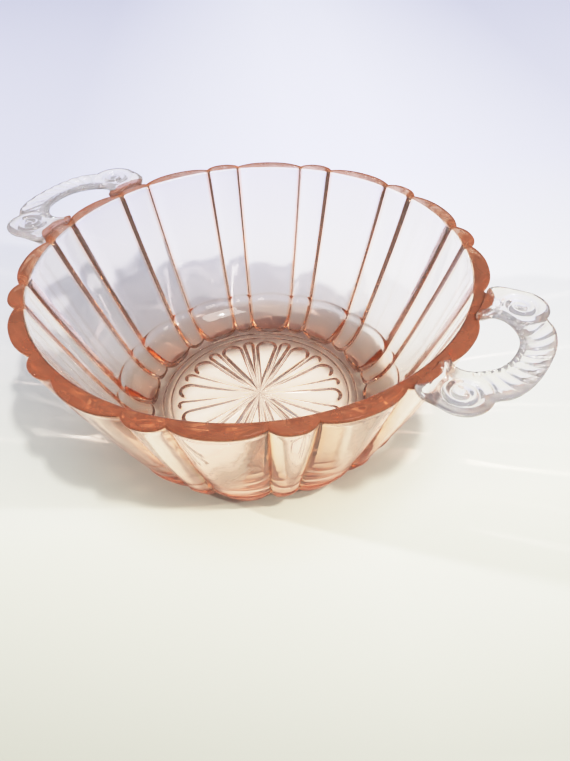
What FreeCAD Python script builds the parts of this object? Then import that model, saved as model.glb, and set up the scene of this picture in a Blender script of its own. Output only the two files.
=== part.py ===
import FreeCAD, Part
import math
import os

# A pressed pink glass dish with two open handles: a fluted bowl wall on a star foot.
# Millimetres. The origin is the centre of the foot on the table, +Z is up and +X runs
# through the middle of one handle. Wide and narrow flutes alternate round the wall.

Vector = FreeCAD.Vector
os.makedirs("parts", exist_ok=True)
doc = FreeCAD.newDocument("fluted_dish")

# ---------------------------------------------------------------- driving dimensions
DIMENSIONS = [
    ("overall_height", 70.0, "table to rim"),
    ("rim_groove_radius", 79.6, "radius of the rim at the bottom of a groove"),
    ("shoulder_groove_radius", 56.9, "radius of a groove where the wall meets the base"),
    ("shoulder_height", 14.0, "height of the joint between wall and base"),
    ("wall_bow", 0.9, "how far the wall swells out beyond a straight cone"),
    ("lobe_ratio", 0.036, "crest radius over groove radius, less one"),
    ("flute_pairs", 12, "pairs of one wide and one narrow flute"),
    ("wide_half_angle", 10.0, "half the angle that a wide flute spans, degrees"),
    ("wall_thickness", 3.4, "glass at the rim, groove to inside"),
    ("rim_rounding", 0.8, "rounding of the rim's inner edge"),
    ("corner_wall_radius", 54.2, "inside radius where the wall runs into the corner"),
    ("corner_radius", 14.0, "rounding between the wall and the floor inside"),
    ("floor_radius", 41.5, "radius of the flat floor inside"),
    ("floor_height", 9.0, "table to the floor inside"),
    ("foot_groove_radius", 45.5, "radius of a groove on the table"),
    ("foot_power", 0.6, "exponent of the flutes' turn under the base"),
    ("recess_radius", 43.0, "radius of the hollow under the base"),
    ("recess_draft", 1.5, "how much wider the hollow is at the table"),
    ("recess_depth", 4.4, "depth of the hollow under the base"),
    ("notch_height", 2.4, "height of the gap between two toes of the foot"),
    ("notch_width", 4.4, "width of that gap on the table"),
    ("star_radius", 34.0, "tip radius of the star's rays"),
    ("star_gap", 0.3, "ridge left between two rays"),
    ("star_depth", 1.0, "depth of a wide ray"),
    ("handle_top", 71.6, "table to the top face of a handle"),
    ("handle_thickness", 5.6, "thickness of a handle"),
    ("grip_reach", 105.1, "centre to the outermost point of a handle"),
    ("opening_reach", 95.1, "centre to the outer side of the finger opening"),
    ("opening_half", 14.6, "half the length of the finger opening"),
    ("grip_crown", 1.5, "how far the grip's outer side falls back at its ends"),
    ("scroll_reach", 87.8, "centre to a scroll, along the handle"),
    ("scroll_offset", 23.2, "scroll to the handle's middle line"),
    ("scroll_radius", 8.75, "outer radius of a scroll"),
    ("volute_growth", 2.9, "spacing of the scroll's raised spiral"),
    ("volute_turns", 2.0, "turns of that spiral"),
    ("volute_start", 1.6, "inner radius of that spiral"),
    ("volute_bead", 0.9, "radius of the spiral's bead"),
    ("button_radius", 2.4, "radius of the ball in the middle of a scroll"),
    ("rib_count", 11, "ribs across the grip"),
    ("rib_radius", 1.7, "radius of a rib"),
    ("rib_rise", 0.55, "how far a rib stands above the grip"),
    ("rib_spread", 3.0, "how much further out the end ribs start than the middle one"),
]

sheet = doc.addObject("Spreadsheet::Sheet", "dims")
for row, (alias, number, meaning) in enumerate(DIMENSIONS, start=1):
    sheet.set(f"A{row}", alias)
    sheet.set(f"B{row}", str(number))
    sheet.set(f"C{row}", meaning)
    sheet.setAlias(f"B{row}", alias)
doc.recompute()


def size(alias):
    """The value of one driving dimension."""
    return float(getattr(sheet, alias))


PAIRS = int(size("flute_pairs"))
PITCH = 360.0 / PAIRS
WIDE_HALF = size("wide_half_angle")
NARROW_HALF = PITCH / 2 - WIDE_HALF
OVERRUN = 5.0  # how far a cutting tool runs past the glass


def polar(radius, degrees, height=0.0):
    angle = math.radians(degrees)
    return Vector(radius * math.cos(angle), radius * math.sin(angle), height)


def add(kind, name, **bindings):
    """A document object whose properties follow expressions on the sheet."""
    thing = doc.addObject(kind, name)
    for prop, expression in bindings.items():
        thing.setExpression(prop, expression)
    return thing


def shape_feature(name, shape):
    thing = doc.addObject("Part::Feature", name)
    thing.Shape = shape
    return thing


def loft(name, sections):
    thing = doc.addObject("Part::Loft", name)
    thing.Sections = sections
    thing.Solid = True
    return thing


def extrude_up(name, base):
    """A closed plan pushed up along +Z; its length is set or bound by the caller."""
    thing = doc.addObject("Part::Extrusion", name)
    thing.Base = base
    thing.DirMode = "Custom"
    thing.Dir = Vector(0, 0, 1)
    thing.Solid = True
    return thing


def fuse(name, members):
    thing = doc.addObject("Part::MultiFuse", name)
    thing.Shapes = members
    return thing


def cut(name, base, tool):
    thing = doc.addObject("Part::Cut", name)
    thing.Base = base
    thing.Tool = tool
    return thing


# ---------------------------------------------------------------- outer fluted surface
def wall_groove_radius(height):
    """Groove radius of the wall: a cone from shoulder to rim, swollen by wall_bow."""
    low = size("shoulder_groove_radius")
    t = (height - size("shoulder_height")) / (size("overall_height") - size("shoulder_height"))
    return low + (size("rim_groove_radius") - low) * t + 4 * size("wall_bow") * t * (1 - t)


def foot_groove_radius(height):
    """Groove radius below the shoulder, where the flutes turn in under the base."""
    low = size("foot_groove_radius")
    rise = height / size("shoulder_height")
    return low + (size("shoulder_groove_radius") - low) * rise ** size("foot_power")


def lobed_wire(groove_radius):
    """Closed outline of alternating wide and narrow arcs that meet in sharp grooves."""
    crest = groove_radius * (1 + size("lobe_ratio"))
    arcs = []
    for pair in range(PAIRS):
        for middle, half in ((0.0, WIDE_HALF), (PITCH / 2, NARROW_HALF)):
            at = pair * PITCH + middle
            arcs.append(
                Part.Arc(
                    polar(groove_radius, at - half),
                    polar(crest, at),
                    polar(groove_radius, at + half),
                ).toShape()
            )
    return Part.Wire(arcs)


def lobed_section(name, groove_radius, height):
    section = shape_feature(name, lobed_wire(groove_radius))
    section.Placement.Base = Vector(0, 0, height)
    return section


WALL_STEPS = 5
wall_sections = []
for step in range(WALL_STEPS + 1):
    lift = (size("overall_height") - size("shoulder_height")) * step / WALL_STEPS
    level = size("shoulder_height") + lift
    wall_sections.append(lobed_section(f"wall_section_{step}", wall_groove_radius(level), level))
wall_blank = loft("wall_blank", wall_sections)

FOOT_SHARES = (0.0, 0.03, 0.1, 0.22, 0.4, 0.65, 1.0)  # of the shoulder's height
foot_sections = []
for step, share in enumerate(FOOT_SHARES):
    level = size("shoulder_height") * share
    foot_sections.append(lobed_section(f"foot_section_{step}", foot_groove_radius(level), level))
foot_blank = loft("foot_blank", foot_sections)

# ---------------------------------------------------------------- inside of the bowl
def bowl_profile():
    """Half section of the space inside: flat floor, rounded corner and bowed wall."""
    rim = size("overall_height")
    floor = size("floor_height")
    rounding = size("corner_radius")
    corner_angle = math.acos((size("corner_wall_radius") - size("floor_radius")) / rounding)
    floor_edge = Vector(size("floor_radius"), 0, floor)
    middle_angle = (math.pi / 2 + corner_angle) / 2
    corner_mid = floor_edge + Vector(
        rounding * math.cos(middle_angle), 0, rounding * (1 - math.sin(middle_angle))
    )
    corner_top = floor_edge + Vector(
        rounding * math.cos(corner_angle), 0, rounding * (1 - math.sin(corner_angle))
    )
    round_off = size("rim_rounding")
    rim_inside = size("rim_groove_radius") - size("wall_thickness")
    wall_end = Vector(rim_inside, 0, rim - round_off)
    rim_mid = Vector(
        rim_inside + round_off * (1 - math.cos(math.pi / 4)),
        0,
        rim - round_off * (1 - math.sin(math.pi / 4)),
    )
    rim_edge = Vector(rim_inside + round_off, 0, rim)
    along = wall_end - corner_top
    outwards = Vector(along.z, 0, -along.x).normalize()
    wall_mid = corner_top + along * 0.5 + outwards * size("wall_bow")
    above_rim = rim_edge + Vector(0, 0, OVERRUN)
    edges = [
        Part.makeLine(Vector(0, 0, floor), floor_edge),
        Part.Arc(floor_edge, corner_mid, corner_top).toShape(),
        Part.Arc(corner_top, wall_mid, wall_end).toShape(),
        Part.Arc(wall_end, rim_mid, rim_edge).toShape(),
        Part.makeLine(rim_edge, above_rim),
        Part.makeLine(above_rim, Vector(0, 0, rim + OVERRUN)),
        Part.makeLine(Vector(0, 0, rim + OVERRUN), Vector(0, 0, floor)),
    ]
    return Part.Face(Part.Wire(edges))


inside_profile = shape_feature("inside_profile", bowl_profile())
inside = doc.addObject("Part::Revolution", "inside")
inside.Source = inside_profile
inside.Axis = Vector(0, 0, 1)
inside.Angle = 360
inside.Solid = True

bowl_wall = cut("bowl_wall", wall_blank, inside)

# ---------------------------------------------------------------- foot and star
recess = add(
    "Part::Cone",
    "recess",
    Radius1="dims.recess_radius + dims.recess_draft",
    Radius2="dims.recess_radius",
    Height="dims.recess_depth",
)


def notch_prism(degrees):
    """The V gap under one groove, between two toes of the foot."""
    half = size("notch_width") / 2
    start = size("recess_radius") - OVERRUN
    length = size("shoulder_groove_radius") - start
    corners = [
        Vector(start, -half, 0),
        Vector(start, 0, size("notch_height")),
        Vector(start, half, 0),
        Vector(start, -half, 0),
    ]
    prism = Part.Face(Part.makePolygon(corners)).extrude(Vector(length, 0, 0))
    prism.rotate(Vector(0, 0, 0), Vector(0, 0, 1), degrees)
    return prism


def ray_section(reach, half_width, depth):
    """Crossways cut through one ray: a chord on the glass face and an arc above it."""
    left = Vector(reach, -half_width, 0)
    right = Vector(reach, half_width, 0)
    arc = Part.Arc(left, Vector(reach, 0, depth), right).toShape()
    return Part.Wire([arc, Part.makeLine(right, left)])


RAY_START = 0.05  # a ray's narrow end, as a share of the star's radius
RAY_START_SPREAD = 0.03  # and its half width and depth there, as shares of the widest
RAY_START_DEPTH = 0.15
RAY_SIDES = (0.35, 0.7, 1.0)  # stations out to the widest place
RAY_END = (0.45, 0.8, 0.96)  # stations round the outer end
NARROW_DEPTH_SHARE = 0.7


def star_ray(half_angle, depth, degrees):
    """A hollow that widens from the centre, with a rounded outer end."""
    tip = size("star_radius")
    widest = tip / (1 + math.sin(math.radians(half_angle)))
    spread = widest * math.tan(math.radians(half_angle)) - size("star_gap")
    sections = [ray_section(tip * RAY_START, spread * RAY_START_SPREAD, depth * RAY_START_DEPTH)]
    for share in RAY_SIDES:
        sections.append(ray_section(widest * share, spread * share, depth * share ** 0.5))
    for share in RAY_END:
        fall = math.sqrt(1 - share ** 2)
        sections.append(ray_section(widest + (tip - widest) * share, spread * fall, depth * fall))
    ray = Part.makeLoft(sections, True, True)
    ray.rotate(Vector(0, 0, 0), Vector(0, 0, 1), degrees)
    return ray


notches = []
rays = []
for pair in range(PAIRS):
    middle = pair * PITCH
    notches.append(notch_prism(middle + WIDE_HALF))
    notches.append(notch_prism(middle - WIDE_HALF))
    rays.append(star_ray(WIDE_HALF, size("star_depth"), middle))
    rays.append(
        star_ray(NARROW_HALF, size("star_depth") * NARROW_DEPTH_SHARE, middle + PITCH / 2)
    )

toe_gaps = shape_feature("toe_gaps", Part.makeCompound(notches))
star = shape_feature("star", Part.makeCompound(rays))
star.Placement.Base = Vector(0, 0, size("recess_depth"))

foot_hollow = cut("foot_hollow", foot_blank, inside)
foot_recessed = cut("foot_recessed", foot_hollow, recess)
foot_toed = cut("foot_toed", foot_recessed, toe_gaps)
star_base = cut("star_base", foot_toed, star)

# ---------------------------------------------------------------- handles
MIRROR_ACROSS_X = FreeCAD.Matrix(1, 0, 0, 0, 0, -1, 0, 0, 0, 0, 1, 0, 0, 0, 0, 1)
RIBS = int(size("rib_count"))
CROOK_ANGLE = -12.0  # direction from a scroll's centre to where the grip leaves it
ARM_ANGLE = 101.0  # direction from a scroll's centre to where the arm's side leaves it
SPIRAL_END_ANGLE = 100.0  # direction from a scroll's centre to the end of its spiral
GRIP_HALF_SWEEP = 58.0  # the ribs fan out by this much each side of the middle


GRIP_SIDE_SHARE = 0.9  # the grip's tip arc ends this far out, in half openings
GRIP_TURN_SHARE = 1.23  # and turns towards the scroll here
GRIP_TURN_CROWNS = 2.2  # set back from the tip by this many crowns
ROOT_SHARE = 0.55  # outer side of an arm where it enters the wall, in scroll radii
BEND_BACK = 0.8  # the opening's corner, back from its far side, in half openings
BEND_MID_BACK = 0.22  # a spot on the opening's curve, back from its far side
BEND_MID_OUT = 0.66  # and out from the middle line


def handle_plan():
    """Closed plan of a handle: two arms that end in scrolls, and a curved grip between."""
    reach = size("grip_reach")
    opening = size("opening_reach")
    inner = size("opening_half")
    root = size("rim_groove_radius") - 2 * size("wall_thickness")
    scroll = Vector(size("scroll_reach"), size("scroll_offset"), 0)
    radius = size("scroll_radius")

    grip_side = Vector(reach - size("grip_crown"), inner * GRIP_SIDE_SHARE, 0)
    grip_turn = Vector(
        reach - size("grip_crown") * GRIP_TURN_CROWNS, inner * GRIP_TURN_SHARE, 0
    )
    crook = scroll + polar(radius, CROOK_ANGLE)
    grip_end = crook + Vector(size("grip_crown"), 0, 0)
    arm_top = scroll + polar(radius, ARM_ANGLE)
    root_out = Vector(root, scroll.y + radius * ROOT_SHARE, 0)
    root_in = Vector(root, inner, 0)
    bend = Vector(opening - inner * BEND_BACK, inner, 0)
    bend_mid = Vector(opening - inner * BEND_MID_BACK, inner * BEND_MID_OUT, 0)

    half = [
        Part.Arc(grip_side, grip_turn, grip_end).toShape(),
        Part.makeLine(grip_end, crook),
        Part.Arc(crook, scroll + polar(radius, (CROOK_ANGLE + ARM_ANGLE) / 2), arm_top).toShape(),
        Part.makeLine(arm_top, root_out),
        Part.makeLine(root_out, root_in),
        Part.makeLine(root_in, bend),
    ]
    edges = half + [edge.transformGeometry(MIRROR_ACROSS_X) for edge in half]
    grip_mid = Vector(reach, 0, 0)
    edges.append(Part.Arc(grip_side, grip_mid, MIRROR_ACROSS_X.multVec(grip_side)).toShape())
    opening_curve = Part.BSplineCurve()
    opening_curve.interpolate(
        [
            bend,
            bend_mid,
            Vector(opening, 0, 0),
            MIRROR_ACROSS_X.multVec(bend_mid),
            MIRROR_ACROSS_X.multVec(bend),
        ]
    )
    edges.append(opening_curve.toShape())
    return Part.Face(Part.Wire(Part.__sortEdges__(edges)))


def scroll_spiral(word, sign):
    """Raised spiral bead and its centre button on one scroll."""
    centre = Vector(size("scroll_reach"), sign * size("scroll_offset"), size("handle_top"))
    spine = add(
        "Part::Spiral",
        f"volute_spine_{word}",
        Growth="dims.volute_growth",
        Rotations="dims.volute_turns",
        Radius="dims.volute_start",
    )
    bead = add("Part::Circle", f"volute_bead_{word}", Radius="dims.volute_bead")
    bead.Placement = FreeCAD.Placement(
        Vector(size("volute_start"), 0, 0), FreeCAD.Rotation(Vector(1, 0, 0), 90)
    )
    doc.recompute()
    volute = doc.addObject("Part::Sweep", f"volute_{word}")
    volute.Sections = [bead]
    volute.Spine = (spine, [])
    volute.Solid = True
    volute.Frenet = True
    flip = FreeCAD.Rotation(Vector(1, 0, 0), 0 if sign > 0 else 180)
    swing = FreeCAD.Rotation(Vector(0, 0, 1), sign * SPIRAL_END_ANGLE)
    volute.Placement = FreeCAD.Placement(centre, swing.multiply(flip))
    button = add("Part::Sphere", f"volute_button_{word}", Radius="dims.button_radius")
    button.Placement.Base = centre - Vector(0, 0, size("button_radius") - size("volute_bead"))
    return [volute, button]


def grip_rib(number):
    """One rounded rib across the grip, pointing at the middle of the finger opening."""
    share = 2 * number / (RIBS - 1) - 1
    swing = share * GRIP_HALF_SWEEP
    hub = Vector(size("opening_reach") - size("opening_half") * 0.8, 0, 0)
    inner_end = size("opening_reach") - hub.x + size("rib_spread") * share ** 2
    lift = size("handle_top") - size("rib_radius") + size("rib_rise")
    rib = add(
        "Part::Cylinder",
        f"rib_{number}",
        Radius="dims.rib_radius",
        Height="dims.grip_reach - dims.opening_reach - dims.grip_crown",
    )
    start = hub + polar(inner_end + size("grip_crown") / 2, swing, lift)
    upright_to_outwards = FreeCAD.Rotation(Vector(0, 0, 1), polar(1, swing))
    rib.Placement = FreeCAD.Placement(start, upright_to_outwards)
    return rib


plan = shape_feature("handle_plan", handle_plan())
plan.Placement.Base = Vector(0, 0, size("handle_top") - size("handle_thickness"))
plate = extrude_up("handle_plate", plan)
plate.setExpression("LengthFwd", "dims.handle_thickness")

members = [plate]
members += scroll_spiral("front", -1)
members += scroll_spiral("back", 1)
members += [grip_rib(number) for number in range(RIBS)]
handle_body = fuse("handle_body", members)

# The handle meets the flutes exactly, and its top runs on just above the rim.
rim_collar = extrude_up("rim_collar", wall_sections[-1])
rim_collar.LengthFwd = OVERRUN
handle_clear = cut("handle_clear", handle_body, rim_collar)
handle_right = cut("handle_right", handle_clear, wall_blank)
doc.recompute()

handle_left = shape_feature("handle_left", handle_right.Shape.copy())
handle_left.Placement = FreeCAD.Placement(
    Vector(0, 0, 0), FreeCAD.Rotation(Vector(0, 0, 1), 180)
)
doc.recompute()

# ---------------------------------------------------------------- check and write
NODES = (bowl_wall, star_base, handle_right, handle_left)
for thing in doc.Objects:
    if "Invalid" in thing.State or "Error" in thing.State:
        raise RuntimeError(f"{thing.Name} did not build: {thing.State}")
for node in NODES:
    if node.Shape.isNull() or not node.Shape.isValid() or len(node.Shape.Solids) != 1:
        raise RuntimeError(f"{node.Label} is not one valid solid")
for node in NODES:
    node.Shape.exportStep(f"parts/{node.Label}.step")
    print(node.Label, "volume", round(node.Shape.Volume), "box", node.Shape.BoundBox)
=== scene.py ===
import math

import bmesh
import bpy
import numpy as np
from mathutils import Matrix, Vector
from mathutils.geometry import delaunay_2d_cdt


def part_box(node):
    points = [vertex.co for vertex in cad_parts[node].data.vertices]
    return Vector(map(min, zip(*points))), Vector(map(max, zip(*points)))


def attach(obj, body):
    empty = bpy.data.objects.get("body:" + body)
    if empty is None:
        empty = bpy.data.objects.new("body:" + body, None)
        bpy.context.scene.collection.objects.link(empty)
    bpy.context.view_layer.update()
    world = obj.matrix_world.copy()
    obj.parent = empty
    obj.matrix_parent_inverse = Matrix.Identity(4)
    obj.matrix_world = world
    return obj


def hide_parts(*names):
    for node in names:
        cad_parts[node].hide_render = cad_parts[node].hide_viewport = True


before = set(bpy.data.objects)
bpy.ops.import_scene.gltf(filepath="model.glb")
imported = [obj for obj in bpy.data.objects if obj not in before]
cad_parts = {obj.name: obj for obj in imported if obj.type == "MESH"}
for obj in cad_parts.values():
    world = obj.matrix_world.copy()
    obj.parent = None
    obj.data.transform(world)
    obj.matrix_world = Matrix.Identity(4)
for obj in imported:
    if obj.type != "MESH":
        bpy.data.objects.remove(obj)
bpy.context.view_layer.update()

# A pressed pink glass dish with fluted wall, star foot and two scroll handles.
# Shapes are worked out in millimetres in the CAD frame (+Z up, +X through a handle,
# origin under the foot) and scaled to metres when a mesh is made.
MM = 0.001
wall_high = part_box("bowl_wall")[1]
base_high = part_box("star_base")[1]
right_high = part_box("handle_right")[1]

# ------------------------------------------------------------------ sizes from the frame
RIM_Z = wall_high.z / MM
SHOULDER_Z = base_high.z / MM
LOBE = 0.036  # crest radius over groove radius, less one
RIM_GROOVE = wall_high.y / MM / (1 + LOBE)
SHOULDER_GROOVE = base_high.y / MM / (1 + LOBE)
HANDLE_REACH = right_high.x / MM
FLOOR_Z = 9.0  # the floor inside the bowl
RECESS_Z = 4.4  # top of the hollow under the base
WALL = 3.4  # glass at the rim, groove to inside
FLUTE_POWER = 2.5  # 2 is a round flute, more is flatter with steeper sides
WALL_BOW = 0.9  # how far the wall swells out beyond a straight cone
NOTCH_DEPTH = 0.16  # the sharp line pressed along each groove
NOTCH_HALF = 0.7
NOTCH_POWER = 1.2  # above 1, so the notch has a sharp bottom

PAIRS = 12
PITCH = 2 * math.pi / PAIRS
WIDE_HALF = math.radians(10)
NARROW_HALF = PITCH / 2 - WIDE_HALF
HANDLE_TURN = math.radians(38.94)  # how far the handles are turned from the camera's right


# ------------------------------------------------------------------ curves
def spline(points, per_span):
    """Smooth curve through a few points, Catmull-Rom."""
    pts = np.array(points, float)
    pts = np.vstack([2 * pts[0] - pts[1], pts, 2 * pts[-1] - pts[-2]])
    out = []
    for i in range(1, len(pts) - 2):
        a, b, c, d = pts[i - 1 : i + 3]
        for t in np.arange(per_span) / per_span:
            out.append(
                0.5 * (2 * b + (c - a) * t + (2 * a - 5 * b + 4 * c - d) * t**2
                       + (3 * b - 3 * c + d - a) * t**3)
            )
    out.append(pts[-2])
    return np.array(out)


def flute_columns(wide_steps=44, narrow_steps=28):
    """Angles round the dish, crowded towards the grooves, and the swell there, 0 to 1."""
    angles, swell, narrow = [], [], []
    for pair in range(PAIRS):
        for middle, half, steps in (
            (pair * PITCH, WIDE_HALF, wide_steps),
            (pair * PITCH + PITCH / 2, NARROW_HALF, narrow_steps),
        ):
            u = np.sin(np.pi / 2 * (2 * np.arange(steps) / steps - 1))
            full = 1 - np.abs(u) ** FLUTE_POWER
            from_groove = (1 - np.abs(u)) * half * RIM_GROOVE
            notch = NOTCH_DEPTH * np.clip(1 - from_groove / NOTCH_HALF, 0, 1) ** NOTCH_POWER
            angles.append(middle + u * half)
            swell.append(full - notch / (LOBE * RIM_GROOVE))
            narrow.append(np.full(steps, float(half == NARROW_HALF)))
    return np.concatenate(angles), np.concatenate(swell), np.concatenate(narrow)


ANGLES, SWELL, NARROW = flute_columns()


def wall_groove(height):
    """Radius of the outer wall's grooves at one height."""
    t = (height - SHOULDER_Z) / (RIM_Z - SHOULDER_Z)
    return SHOULDER_GROOVE + (RIM_GROOVE - SHOULDER_GROOVE) * t + 4 * WALL_BOW * t * (1 - t)


def ring(radius, height):
    """One row of points; radius and height may be numbers or one value per column."""
    radius = np.broadcast_to(radius, ANGLES.shape)
    height = np.broadcast_to(height, ANGLES.shape)
    return np.stack([radius * np.cos(ANGLES), radius * np.sin(ANGLES), height], 1)


def smoothstep(x):
    x = np.clip(x, 0, 1)
    return x * x * (3 - 2 * x)


def lobed_ring(groove, crest, swell):
    """A row between two (radius, height) points: one for the grooves and one for the crests."""
    g, c = np.array(groove, float), np.array(crest, float)
    return ring(g[0] + (c[0] - g[0]) * swell, g[1] + (c[1] - g[1]) * swell)


# ------------------------------------------------------------------ rows of the bowl
WALL_ROWS = 34  # rows up each side of the wall
ROUND_ROWS = 6  # rows round each edge of the rim
RIM_ROUND = 1.0  # rounding of the rim's two edges
RIM_CROWN = 0.2  # how far the rim's top is domed
CORNER_R = 14.0  # the hollow's floor turns up into its wall on this radius
CORNER_WALL_R = 54.2
FLOOR_R = 41.5
TOP_ANGLE = math.acos((CORNER_WALL_R - FLOOR_R) / CORNER_R)
SEAM_ANGLE = math.asin(1 - (SHOULDER_Z - FLOOR_Z) / CORNER_R)
SEAM_GAP = 0.05  # between the hidden faces of two pieces
ROLL_Z = 14.4  # the thin roll round the outside of the shoulder
ROLL_HALF = 1.6
ROLL_RISE = 0.42
ROLL_POWER = 1.3
ROLL_MARGIN = 0.2  # between the wall's rows and the roll's closer ones
TOE_TOP = 12.0  # below this the narrow toes draw in
TOE_FALL = 9.0
TOE_TUCK = 0.42
STAR_TIP = 34.0
STAR_EDGE = STAR_TIP + 0.8  # the flat ring ends here and the star begins
STAR_CHAMFER = 1.35
STAR_BULGE = 1.1  # above 1, so the chamfer is rounded
STAR_DOME = 0.5  # how far each ray swells at its middle
STAR_POLE = RECESS_Z + 0.3
STAR_HOLE = 0.5  # radius of the last row round the middle, above and below
WIDE_RAY = (math.radians(9.3), 0.0, 1.75)  # half angle, where the first ray points, depth
NARROW_RAY = (math.radians(4.8), PITCH / 2, 1.6)
RIDGES = (37.0, 40.2)  # radii of two fine rings outside the star
RIDGE_WIDTH = 0.4
RIDGE_RISE = 0.45


def corner_ring(angle):
    """A row of the hollow's corner; the angle is a right angle at the floor and falls going up."""
    return ring(FLOOR_R + CORNER_R * math.cos(angle), FLOOR_Z + CORNER_R * (1 - math.sin(angle)))


def floor_rows():
    """The hollow's floor and corner, from the middle outwards and up to the shoulder's height."""
    rows = [ring(r, FLOOR_Z) for r in np.linspace(STAR_HOLE, FLOOR_R, 16)]
    rows += [corner_ring(a) for a in np.linspace(math.pi / 2, SEAM_ANGLE, 11)[1:]]
    rows[-1][:, 2] -= SEAM_GAP
    return rows


def inside_rows():
    """The rest of the corner and the inside of the wall, up to the rim."""
    rows = [corner_ring(a) for a in np.linspace(SEAM_ANGLE, TOP_ANGLE, 5)]
    low = np.array([CORNER_WALL_R, FLOOR_Z + CORNER_R * (1 - math.sin(TOP_ANGLE))])
    high = np.array([RIM_GROOVE - WALL, RIM_Z - RIM_ROUND - RIM_CROWN])
    along = high - low
    out = np.array([along[1], -along[0]]) / np.linalg.norm(along)
    for t in np.linspace(0, 1, WALL_ROWS)[1:]:
        r, z = low + along * t + out * WALL_BOW * 4 * t * (1 - t)
        rows.append(ring(r, z))
    return rows


def rim_rows():
    """Rounded inner edge, flat top, rounded outer edge."""
    rows = []
    inner = RIM_GROOVE - WALL
    for a in np.linspace(0, math.pi / 2, ROUND_ROWS)[1:]:
        height = RIM_Z - RIM_CROWN - RIM_ROUND * (1 - math.sin(a))
        rows.append(ring(inner + RIM_ROUND * (1 - math.cos(a)), height))
    start = inner + RIM_ROUND
    edge = RIM_GROOVE * (1 + LOBE * SWELL) - RIM_ROUND
    for t in np.linspace(0, 1, 10)[1:]:
        rows.append(ring(start + (edge - start) * t, RIM_Z + RIM_CROWN * (4 * t * (1 - t) - 1)))
    for a in np.linspace(0, math.pi / 2, ROUND_ROWS)[1:]:
        height = RIM_Z - RIM_CROWN - RIM_ROUND * (1 - math.cos(a))
        rows.append(ring(edge + RIM_ROUND * math.sin(a), height))
    return rows


def outside_ring(z):
    """A row of the fluted outside, with the roll where the height is near the shoulder."""
    roll = ROLL_RISE * max(0.0, 1 - ((z - ROLL_Z) / ROLL_HALF) ** 2) ** ROLL_POWER
    return ring(wall_groove(z) * (1 + LOBE * SWELL) + roll, z)


def outside_rows():
    """The fluted wall, from the rim down into a thin roll at the shoulder."""
    top = ROLL_Z + ROLL_HALF
    heights = np.r_[np.linspace(RIM_Z - RIM_ROUND - RIM_CROWN, top + ROLL_MARGIN, WALL_ROWS)[1:],
                    np.linspace(top, SHOULDER_Z, 10)]
    return [outside_ring(z) for z in heights]


def foot_rows():
    """The flutes turn under the base, stand on their toes and end at the hollow."""
    foot_top = ROLL_Z - ROLL_HALF
    g0 = SHOULDER_GROOVE
    groove = [(g0, SHOULDER_Z), (54.7, 10.6), (52.5, 7.8), (50.4, 5.7), (48.6, 4.6),
              (47.2, 4.1), (46.4, 3.9), (45.9, 3.95), (45.6, 4.1), (45.5, RECESS_Z)]
    crest = [(g0 * (1 + LOBE), SHOULDER_Z), (57.1, 10.6), (55.2, 7.4), (52.4, 3.6), (49.9, 1.2),
             (47.0, 0.1), (45.4, 0.1), (43.9, 0.9), (43.1, 2.5), (42.8, RECESS_Z)]
    rows = [outside_ring(z) for z in np.linspace(SHOULDER_Z - SEAM_GAP, foot_top, 7)]
    for g, c in zip(spline(groove, 8), spline(crest, 8)):
        if c[1] <= foot_top:
            tuck = TOE_TUCK * smoothstep((TOE_TOP - c[1]) / TOE_FALL)
            rows.append(lobed_ring(g, c, SWELL * (1 - tuck * NARROW)))
    edge_r = np.hypot(rows[-1][:, 0], rows[-1][:, 1])
    edge_z = rows[-1][:, 2]
    for t in np.linspace(0, 1, 30)[1:]:
        r = edge_r + (STAR_EDGE - edge_r) * t
        ridges = sum(np.exp(-(((r - middle) / RIDGE_WIDTH) ** 2)) for middle in RIDGES)
        rows.append(ring(r, edge_z + (RECESS_Z - edge_z) * t - RIDGE_RISE * ridges))
    return rows


def star_relief(radius):
    """Depth of the star's rays in the underside at one radius, for every column."""
    relief = np.zeros_like(ANGLES)
    for half, first, depth in (WIDE_RAY, NARROW_RAY):
        a = np.abs((ANGLES - first + PITCH / 2) % PITCH - PITCH / 2)
        ahead, side = radius * np.cos(a), radius * np.sin(a)
        end = STAR_TIP / (1 + math.sin(half))
        straight = ahead * math.sin(half) - side * math.cos(half)
        rounded = end * math.sin(half) - np.hypot(side, ahead - end)
        inside = np.where(ahead < end, straight, rounded)
        slope = np.clip(inside / STAR_CHAMFER, 0, 1)
        dome = np.clip(inside / (radius * math.sin(half) + 0.01), 0, 1)
        ray = depth * (1 - (1 - slope) ** STAR_BULGE) + STAR_DOME * (1 - (1 - dome) ** 2)
        relief = np.maximum(relief, ray)
    return relief


def star_rows():
    """The star, from its edge in to the middle of the underside."""
    return [ring(r, RECESS_Z + star_relief(r)) for r in np.linspace(STAR_EDGE, STAR_HOLE, 110)[1:]]


CLEAR, SEAM = 0, 1  # face marks: the glass's own surface, and the hidden face of a seam


def closed_mesh(name, rows, poles=None, seam_row=None):
    """A closed surface from rings: between two poles, or round into its first ring again."""
    n, count = len(ANGLES), len(rows)
    c = np.arange(n)
    nxt = (c + 1) % n
    faces = []
    for i in range(count if poles is None else count - 1):
        a, b = i * n, (i + 1) % count * n
        faces += [tuple(f) for f in np.stack([a + c, b + c, b + nxt, a + nxt], 1)]
    verts = np.vstack(rows)
    if poles is not None:
        verts = np.vstack([verts, poles])
        first, last = count * n, count * n + 1
        end = (count - 1) * n
        faces += [tuple(f) for f in np.stack([np.full(n, first), c, nxt], 1)]
        faces += [tuple(f) for f in np.stack([np.full(n, last), end + nxt, end + c], 1)]
    mesh = bpy.data.meshes.new(name)
    mesh.from_pydata([tuple(v) for v in verts * MM], [], faces)
    index = np.zeros(len(faces), np.int32)
    if seam_row is not None:
        index[seam_row * n : (seam_row + 1) * n] = SEAM
    return linked(name, mesh, index)


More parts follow.
